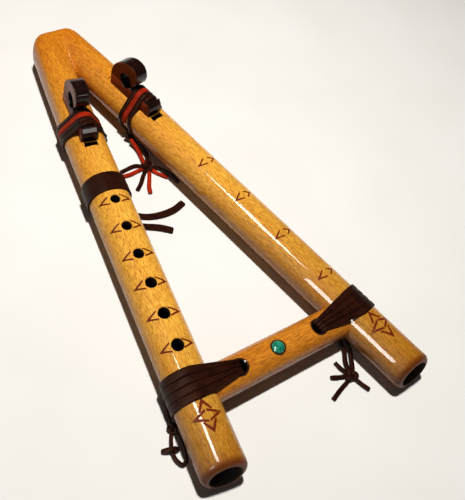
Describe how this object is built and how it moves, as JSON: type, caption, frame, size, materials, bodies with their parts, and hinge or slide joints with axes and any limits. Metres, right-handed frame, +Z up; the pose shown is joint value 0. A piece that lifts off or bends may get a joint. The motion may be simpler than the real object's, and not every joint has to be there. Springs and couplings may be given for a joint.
{
  "type": "double flute",
  "caption": "Double flute of two glued-up wooden barrels in a V with tied hook-shaped blocks, a lashed crossbar with an inlaid stone, a sliding leather band and loose laces.",
  "frame": {"origin": "centre of the footprint of the wood, ties and lashings, on the surface the flute lies on; the loose laces are left out", "axes": "+Y towards the mouth end, +Z up through the blocks and finger holes, +X towards the drone barrel"},
  "size_m": [0.2113, 0.4261, 0.0674],
  "materials": {
    "barrel_wood": "gloss varnish",
    "crossbar_wood": "gloss varnish",
    "block_wood": "polished dark wood",
    "brown_leather": "smooth",
    "red_leather": "smooth",
    "stone": "polished stone"
  },
  "bodies": {
    "flute": {"crossbar": "crossbar_wood", "crossbar_stone": "stone", "drone_lashing": "brown_leather", "drone_lashing_end_back": "brown_leather", "drone_lashing_end_left": "brown_leather", "drone_lashing_end_low": "brown_leather", "drone_lashing_end_right": "brown_leather", "drone_lashing_floor_knot": "brown_leather", "drone_lashing_stem_inner": "brown_leather", "drone_lashing_stem_outer": "brown_leather", "drone_lower_half": "barrel_wood", "drone_plug": "barrel_wood", "drone_tie_brown": "brown_leather", "drone_tie_end_brown_left": "brown_leather", "drone_tie_end_brown_low": "brown_leather", "drone_tie_end_brown_right": "brown_leather", "drone_tie_end_red_left": "red_leather", "drone_tie_end_red_low": "red_leather", "drone_tie_end_red_right": "red_leather", "drone_tie_floor_knot": "brown_leather", "drone_tie_knot": "brown_leather", "drone_tie_red": "red_leather", "drone_tie_stem_brown": "brown_leather", "drone_tie_stem_red": "red_leather", "drone_upper_half": "barrel_wood", "melody_lashing": "brown_leather", "melody_lashing_bow": "brown_leather", "melody_lashing_end": "brown_leather", "melody_lashing_knot": "brown_leather", "melody_lashing_stem": "brown_leather", "melody_lower_half": "barrel_wood", "melody_plug": "barrel_wood", "melody_tie_brown": "brown_leather", "melody_tie_end_red": "red_leather", "melody_tie_knot": "brown_leather", "melody_tie_red": "red_leather", "melody_upper_half": "barrel_wood"},
    "melody_block": {"melody_block": "block_wood"},
    "drone_block": {"drone_block": "block_wood"},
    "band": {"melody_band": "brown_leather", "melody_band_knot": "brown_leather", "melody_band_tail_lower": "brown_leather", "melody_band_tail_upper": "brown_leather"}
  },
  "joints": [
    {"name": "melody_block_slide", "type": "slide", "parent": "flute", "child": "melody_block", "axis": [-0.1805, -0.9836, 0], "range_m": [-0.0015, 0.001]},
    {"name": "drone_block_slide", "type": "slide", "parent": "flute", "child": "drone_block", "axis": [0.1805, -0.9836, 0], "range_m": [-0.0015, 0.001]},
    {"name": "melody_band_slide", "type": "slide", "parent": "flute", "child": "band", "axis": [-0.1805, -0.9836, 0], "range_m": [0, 0.065]}
  ]
}
